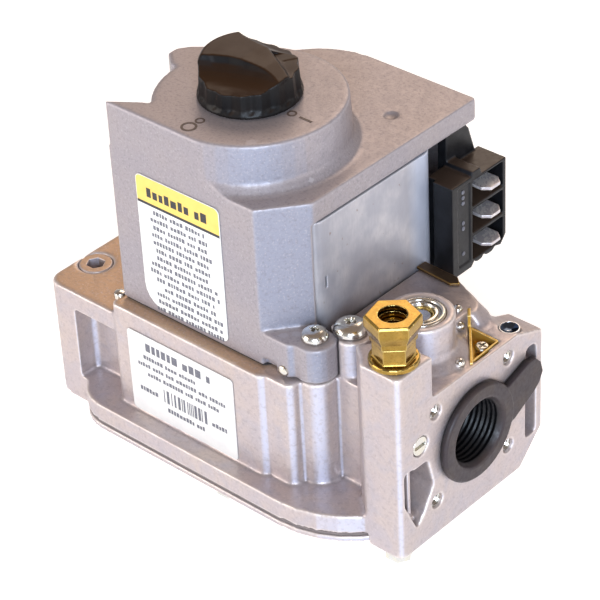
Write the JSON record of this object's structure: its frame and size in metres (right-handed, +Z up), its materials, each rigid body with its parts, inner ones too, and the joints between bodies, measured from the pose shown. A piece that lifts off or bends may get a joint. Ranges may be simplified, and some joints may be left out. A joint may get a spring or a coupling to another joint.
{
  "type": "gas control valve",
  "caption": "Gas control valve: cast aluminium body, painted housing with on-off knob, coils, spade terminals, pressure regulator and brass pilot outlet.",
  "frame": {"origin": "middle of the bottom cover's flat underside", "axes": "+X from inlet to outlet, +Z up through the knob, -Y is the labelled front"},
  "size_m": [0.1135, 0.081, 0.105],
  "materials": {
    "cast_aluminium": "as die-cast, satin",
    "grey_paint": "fine-textured grey paint on die casting",
    "sheet_steel": "bare rolled sheet",
    "zinc_steel": "bright zinc plate",
    "brass": "machined, bright",
    "copper_wire": "enamelled copper winding",
    "black_moulding": "moulded, slightly worn",
    "vinyl_cap": "soft matt cap",
    "rubber_black": "matt",
    "label_film": "printed film"
  },
  "bodies": {
    "valve": {"body_screw": "zinc_steel", "bottom_cover": "cast_aluminium", "coil_bobbin_1": "black_moulding", "coil_bobbin_2": "black_moulding", "coil_winding_1": "copper_wire", "coil_winding_2": "copper_wire", "corner_plug_screw": "zinc_steel", "cover_screw_1": "zinc_steel", "cover_screw_2": "zinc_steel", "cover_screw_3": "zinc_steel", "cover_screw_4": "zinc_steel", "cover_screw_5": "zinc_steel", "cover_screw_6": "zinc_steel", "fixed_core_1": "sheet_steel", "fixed_core_2": "sheet_steel", "frame_stud": "brass", "front_label": "label_film", "guide_tube_1": "sheet_steel", "guide_tube_2": "sheet_steel", "housing_gasket": "rubber_black", "housing_screw": "zinc_steel", "inlet_screen": "sheet_steel", "lower_label": "label_film", "main_diaphragm": "rubber_black", "main_spring": "zinc_steel", "pilot_fitting": "brass", "pilot_guard": "brass", "pilot_seat_1": "brass", "pilot_seat_2": "brass", "plunger_spring_1": "zinc_steel", "plunger_spring_2": "zinc_steel", "regulator_spring": "zinc_steel", "shaft_bush": "brass", "side_passage_plug": "zinc_steel", "solenoid_frame": "sheet_steel", "terminal_blade_1": "zinc_steel", "terminal_blade_2": "zinc_steel", "terminal_blade_3": "zinc_steel", "terminal_block": "black_moulding", "top_housing": "grey_paint", "valve_body": "cast_aluminium"},
    "knob_group": {"knob": "black_moulding", "knob_shaft": "sheet_steel", "shutoff_rotor": "brass"},
    "plunger_set_1": {"plunger_1": "sheet_steel", "plunger_disc_1": "rubber_black"},
    "plunger_set_2": {"plunger_2": "sheet_steel", "plunger_disc_2": "rubber_black"},
    "main_valve": {"main_valve_stem": "sheet_steel", "main_valve_disc": "rubber_black"},
    "regulator_plate": {"regulator_diaphragm": "rubber_black"},
    "regulator_screw": {"regulator_adjust_screw": "black_moulding"},
    "regulator_lid": {"regulator_cap": "zinc_steel"},
    "pilot_adjuster": {"pilot_adjust_screw": "zinc_steel"},
    "fitting_nut": {"pilot_nut": "brass", "pilot_ferrule": "brass"},
    "dust_plug": {"outlet_dust_plug": "vinyl_cap"},
    "outlet_tap": {"outlet_tap_plug": "zinc_steel"},
    "inlet_tap": {"inlet_tap_plug": "zinc_steel"}
  },
  "joints": [
    {"name": "knob_turn", "type": "hinge", "parent": "valve", "child": "knob_group", "pos_m": [-0.0065, -0.0075, 0.0922], "axis": [0, 0, 1], "range_deg": [-90, 0]},
    {"name": "plunger_lift_1", "type": "slide", "parent": "valve", "child": "plunger_set_1", "axis": [0, 0, 1], "range_m": [0, 0.0025], "stiffness_N_per_m": 150, "springref_m": -0.006, "deforming": ["plunger_spring_1"]},
    {"name": "plunger_lift_2", "type": "slide", "parent": "valve", "child": "plunger_set_2", "axis": [0, 0, 1], "range_m": [0, 0.0025], "stiffness_N_per_m": 150, "springref_m": -0.006, "deforming": ["plunger_spring_2"]},
    {"name": "main_valve_lift", "type": "slide", "parent": "valve", "child": "main_valve", "axis": [0, 0, 1], "range_m": [0, 0.003], "stiffness_N_per_m": 250, "springref_m": -0.006, "deforming": ["main_spring"]},
    {"name": "regulator_flex", "type": "slide", "parent": "valve", "child": "regulator_plate", "axis": [0, 0, 1], "range_m": [0, 0.0008], "stiffness_N_per_m": 400, "springref_m": -0.002, "deforming": ["regulator_spring"]},
    {"name": "regulator_adjust", "type": "slide", "parent": "valve", "child": "regulator_screw", "axis": [0, 0, 1], "range_m": [-0.0015, 0.0008], "deforming": ["regulator_spring"]},
    {"name": "regulator_cap_off", "type": "slide", "parent": "valve", "child": "regulator_lid", "axis": [0, 0, 1], "range_m": [0, 0.008]},
    {"name": "pilot_adjust_turn", "type": "hinge", "parent": "valve", "child": "pilot_adjuster", "pos_m": [0.0503, 0.0056, 0.0384], "axis": [0, 0, 1], "range_deg": [-180, 180]},
    {"name": "fitting_nut_off", "type": "slide", "parent": "valve", "child": "fitting_nut", "axis": [0, 0, 1], "range_m": [0, 0.01]},
    {"name": "dust_plug_pull", "type": "slide", "parent": "valve", "child": "dust_plug", "axis": [1, 0, 0], "range_m": [0, 0.016]},
    {"name": "outlet_tap_off", "type": "slide", "parent": "valve", "child": "outlet_tap", "axis": [0, 0, 1], "range_m": [0, 0.008]},
    {"name": "inlet_tap_off", "type": "slide", "parent": "valve", "child": "inlet_tap", "axis": [0, 0, 1], "range_m": [0, 0.01]}
  ]
}
